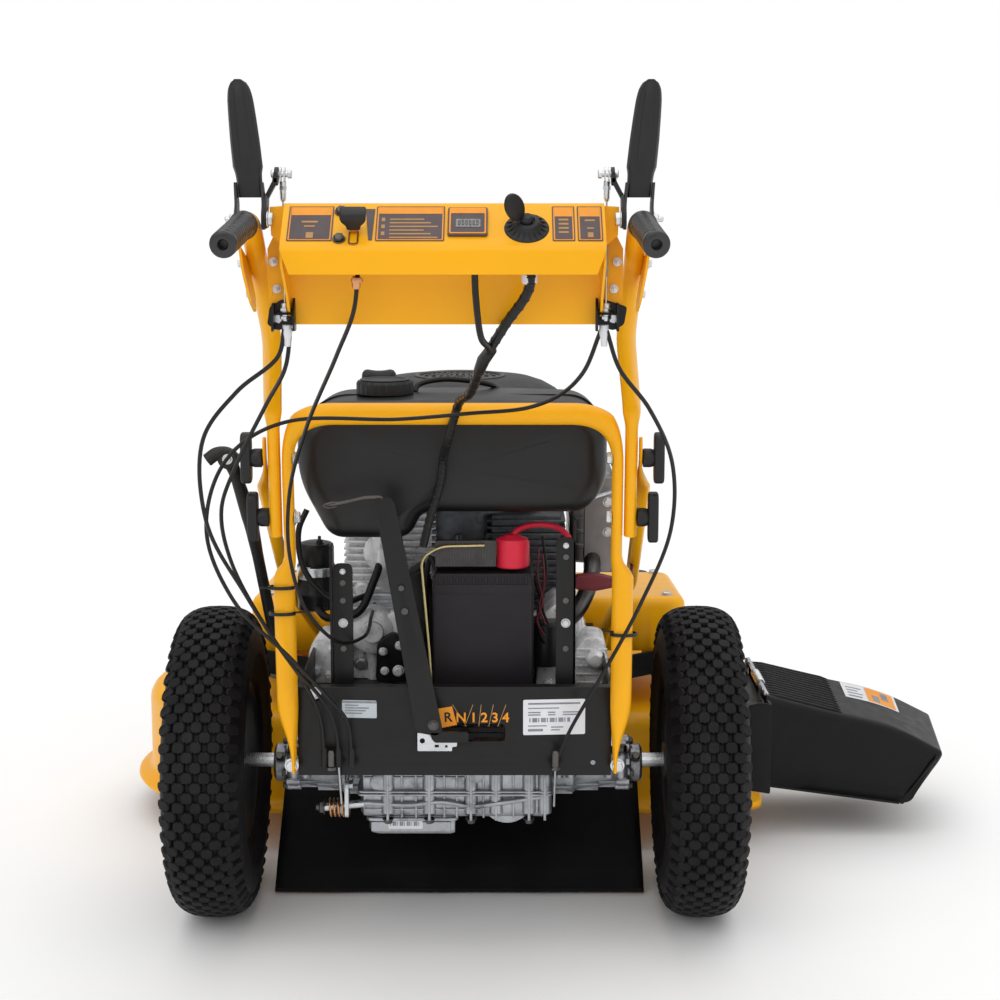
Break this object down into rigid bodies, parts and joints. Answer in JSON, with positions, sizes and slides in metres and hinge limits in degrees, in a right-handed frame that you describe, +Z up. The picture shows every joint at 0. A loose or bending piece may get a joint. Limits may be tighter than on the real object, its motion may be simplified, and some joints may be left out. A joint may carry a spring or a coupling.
{
  "type": "walk-behind brush mower",
  "caption": "Walk-behind rough-cut mower: twin-blade deck with side chute, large driven rear wheels, front casters and a long adjustable handle with a console.",
  "frame": {"origin": "on the ground, under the middle of the machine's bounding box", "axes": "+Z up; +Y forward, away from the operator; +X to the operator's right"},
  "size_m": [1.2482, 1.6218, 1.053],
  "materials": {
    "yellow_paint": "smooth semi-gloss powder coat",
    "black_paint": "satin powder coat",
    "black_plastic": "fine moulded grain",
    "soft_rubber": "smooth, dull",
    "tyre": "new tread, slightly brown",
    "wheel_rim": "satin dark grey",
    "cast_alloy": "fine as-cast grain",
    "bright_steel": "zinc plated",
    "muffler_steel": "pressed sheet, dull",
    "cable_jacket": "smooth, slightly glossy"
  },
  "bodies": {
    "chassis": {"main_frame": "black_paint", "front_beam": "black_paint", "transmission_case": "cast_alloy", "lower_handle": "yellow_paint", "handle_brace_left": "yellow_paint", "handle_brace_right": "yellow_paint", "tank_upright_left": "black_paint", "tank_upright_right": "black_paint", "fuel_tank": "black_plastic", "battery": "black_plastic", "engine_block": "cast_alloy", "blower_housing": "black_plastic", "muffler": "muffler_steel", "starter_motor": "black_paint", "belt_cover": "yellow_paint", "drive_cable_left": "cable_jacket", "brake_cable_left": "cable_jacket", "blade_cable_cross": "cable_jacket", "blade_cable_right": "cable_jacket", "throttle_cable": "cable_jacket", "wiring_harness": "cable_jacket"},
    "wheel_left": {"tyre_left": "tyre", "rim_left": "wheel_rim", "axle_left": "bright_steel"},
    "wheel_right": {"tyre_right": "tyre", "rim_right": "wheel_rim", "axle_right": "bright_steel"},
    "caster_left": {"caster_fork_left": "black_paint"},
    "caster_right": {"caster_fork_right": "black_paint"},
    "caster_wheel_left": {"caster_wheel_left": "tyre"},
    "caster_wheel_right": {"caster_wheel_right": "tyre"},
    "deck": {"deck_shell": "yellow_paint", "deck_belt": "soft_rubber"},
    "cutter_left": {"spindle_left": "bright_steel", "blade_left": "bright_steel"},
    "cutter_right": {"spindle_right": "bright_steel", "blade_right": "bright_steel"},
    "engine_pulley": {"engine_pulley": "bright_steel"},
    "chute": {"chute": "black_plastic"},
    "trail_shield": {"trail_shield": "soft_rubber"},
    "deck_height_lever": {"deck_height_lever": "black_plastic"},
    "shift_lever": {"shift_lever": "black_paint"},
    "fuel_cap": {"fuel_cap": "black_plastic"},
    "recoil_handle": {"recoil_handle": "black_plastic"},
    "upper_handle": {"handle_tube_left": "yellow_paint", "handle_tube_right": "yellow_paint", "console_panel": "yellow_paint", "grip_left": "soft_rubber", "grip_right": "soft_rubber"},
    "drive_lever": {"drive_lever": "black_plastic"},
    "blade_lever": {"blade_lever": "black_plastic"},
    "cable_link_left": {"cable_link_left": "bright_steel"},
    "cable_link_right": {"cable_link_right": "bright_steel"},
    "throttle_lever": {"throttle_lever": "black_plastic"},
    "ignition_key": {"ignition_key": "black_plastic"},
    "knob_lower_left": {"knob_lower_left": "black_plastic"},
    "knob_upper_left": {"knob_upper_left": "black_plastic"},
    "knob_lower_right": {"knob_lower_right": "black_plastic"},
    "knob_upper_right": {"knob_upper_right": "black_plastic"}
  },
  "joints": [
    {"name": "wheel_left_spin", "type": "hinge", "parent": "chassis", "child": "wheel_left", "pos_m": [-0.43413, -0.14108, 0.203], "axis": [1, 0, 0], "continuous": true},
    {"name": "wheel_right_spin", "type": "hinge", "parent": "chassis", "child": "wheel_right", "pos_m": [0.19587, -0.14108, 0.203], "axis": [1, 0, 0], "continuous": true},
    {"name": "caster_left_swivel", "type": "hinge", "parent": "chassis", "child": "caster_left", "pos_m": [-0.41913, 0.77092, 0.23], "axis": [0, 0, 1], "continuous": true},
    {"name": "caster_right_swivel", "type": "hinge", "parent": "chassis", "child": "caster_right", "pos_m": [0.18087, 0.77092, 0.23], "axis": [0, 0, 1], "continuous": true},
    {"name": "caster_wheel_left_spin", "type": "hinge", "parent": "caster_left", "child": "caster_wheel_left", "pos_m": [-0.41913, 0.72092, 0.09], "axis": [1, 0, 0], "continuous": true},
    {"name": "caster_wheel_right_spin", "type": "hinge", "parent": "caster_right", "child": "caster_wheel_right", "pos_m": [0.18087, 0.72092, 0.09], "axis": [1, 0, 0], "continuous": true},
    {"name": "deck_lift", "type": "slide", "parent": "chassis", "child": "deck", "axis": [0, 0, 1], "range_m": [-0.037, 0.025], "deforming": ["deck_belt"]},
    {"name": "deck_height_lever_swing", "type": "hinge", "parent": "chassis", "child": "deck_height_lever", "pos_m": [-0.33313, -0.11108, 0.3], "axis": [1, 0, 0], "range_deg": [-25.3, 17.2]},
    {"name": "cutter_left_spin", "type": "hinge", "parent": "deck", "child": "cutter_left", "pos_m": [-0.38513, 0.31592, 0.2], "axis": [0, 0, 1], "continuous": true},
    {"name": "cutter_right_spin", "type": "hinge", "parent": "deck", "child": "cutter_right", "pos_m": [0.01987, 0.41592, 0.2], "axis": [0, 0, 1], "continuous": true},
    {"name": "engine_pulley_spin", "type": "hinge", "parent": "chassis", "child": "engine_pulley", "pos_m": [-0.11913, 0.04892, 0.233], "axis": [0, 0, 1], "continuous": true},
    {"name": "chute_hinge", "type": "hinge", "parent": "deck", "child": "chute", "pos_m": [0.32687, 0.24092, 0.216], "axis": [0, -1, 0], "range_deg": [0, 75]},
    {"name": "trail_shield_hinge", "type": "hinge", "parent": "chassis", "child": "trail_shield", "pos_m": [-0.11913, 0.05292, 0.119], "axis": [-1, 0, 0], "range_deg": [0, 22]},
    {"name": "shift_lever_swing", "type": "hinge", "parent": "chassis", "child": "shift_lever", "pos_m": [-0.09413, -0.32108, 0.25], "axis": [0, 1, 0], "range_deg": [-10.2, 41]},
    {"name": "fuel_cap_turn", "type": "hinge", "parent": "chassis", "child": "fuel_cap", "pos_m": [-0.20713, -0.20108, 0.7], "axis": [0, 0, 1], "continuous": true},
    {"name": "recoil_handle_pull", "type": "slide", "parent": "chassis", "child": "recoil_handle", "axis": [0, -0.76, 0.65], "range_m": [0, 0.2], "stiffness_N_per_m": 60, "springref_m": -0.05},
    {"name": "upper_handle_tilt", "type": "hinge", "parent": "chassis", "child": "upper_handle", "pos_m": [-0.11913, -0.36394, 0.567], "axis": [1, 0, 0], "range_deg": [0, 9], "deforming": ["drive_cable_left", "brake_cable_left", "blade_cable_cross", "blade_cable_right", "throttle_cable", "wiring_harness"]},
    {"name": "drive_lever_squeeze", "type": "hinge", "parent": "upper_handle", "child": "drive_lever", "pos_m": [-0.31063, -0.66608, 0.918], "axis": [1, 0, 0], "range_deg": [0, 80], "stiffness_Nm_per_rad": 0.5, "springref_deg": -28.65},
    {"name": "blade_lever_squeeze", "type": "hinge", "parent": "upper_handle", "child": "blade_lever", "pos_m": [0.07237, -0.66608, 0.918], "axis": [1, 0, 0], "range_deg": [0, 80], "stiffness_Nm_per_rad": 0.5, "springref_deg": -28.65},
    {"name": "cable_link_left_pin", "type": "hinge", "parent": "drive_lever", "child": "cable_link_left", "pos_m": [-0.31063, -0.63608, 0.962], "axis": [1, 0, 0], "range_deg": [-54, 1]},
    {"name": "cable_link_right_pin", "type": "hinge", "parent": "blade_lever", "child": "cable_link_right", "pos_m": [0.07237, -0.63608, 0.962], "axis": [1, 0, 0], "range_deg": [-54, 1]},
    {"name": "throttle_lever_swing", "type": "hinge", "parent": "upper_handle", "child": "throttle_lever", "pos_m": [-0.20613, -0.67144, 0.88337], "axis": [1, 0, 0], "range_deg": [-22, 22]},
    {"name": "ignition_key_turn", "type": "hinge", "parent": "upper_handle", "child": "ignition_key", "pos_m": [-0.03813, -0.68566, 0.9078], "axis": [0, 0.617, -0.787], "range_deg": [0, 90]},
    {"name": "knob_lower_left_turn", "type": "hinge", "parent": "upper_handle", "child": "knob_lower_left", "pos_m": [-0.33453, -0.36394, 0.567], "axis": [1, 0, 0], "continuous": true},
    {"name": "knob_upper_left_turn", "type": "hinge", "parent": "upper_handle", "child": "knob_upper_left", "pos_m": [-0.34013, -0.36997, 0.638], "axis": [1, 0, 0], "continuous": true},
    {"name": "knob_lower_right_turn", "type": "hinge", "parent": "upper_handle", "child": "knob_lower_right", "pos_m": [0.09627, -0.36394, 0.567], "axis": [1, 0, 0], "continuous": true},
    {"name": "knob_upper_right_turn", "type": "hinge", "parent": "upper_handle", "child": "knob_upper_right", "pos_m": [0.10187, -0.36997, 0.638], "axis": [1, 0, 0], "continuous": true}
  ],
  "couplings": [
    {"joint": "deck_height_lever_swing", "follows": "deck_lift", "rad_per_m": 11.86},
    {"joint": "cutter_right_spin", "follows": "cutter_left_spin", "ratio": 1},
    {"joint": "engine_pulley_spin", "follows": "cutter_left_spin", "ratio": 1.337},
    {"joint": "cable_link_left_pin", "follows": "drive_lever_squeeze", "ratio": -0.646},
    {"joint": "cable_link_right_pin", "follows": "blade_lever_squeeze", "ratio": -0.646}
  ]
}
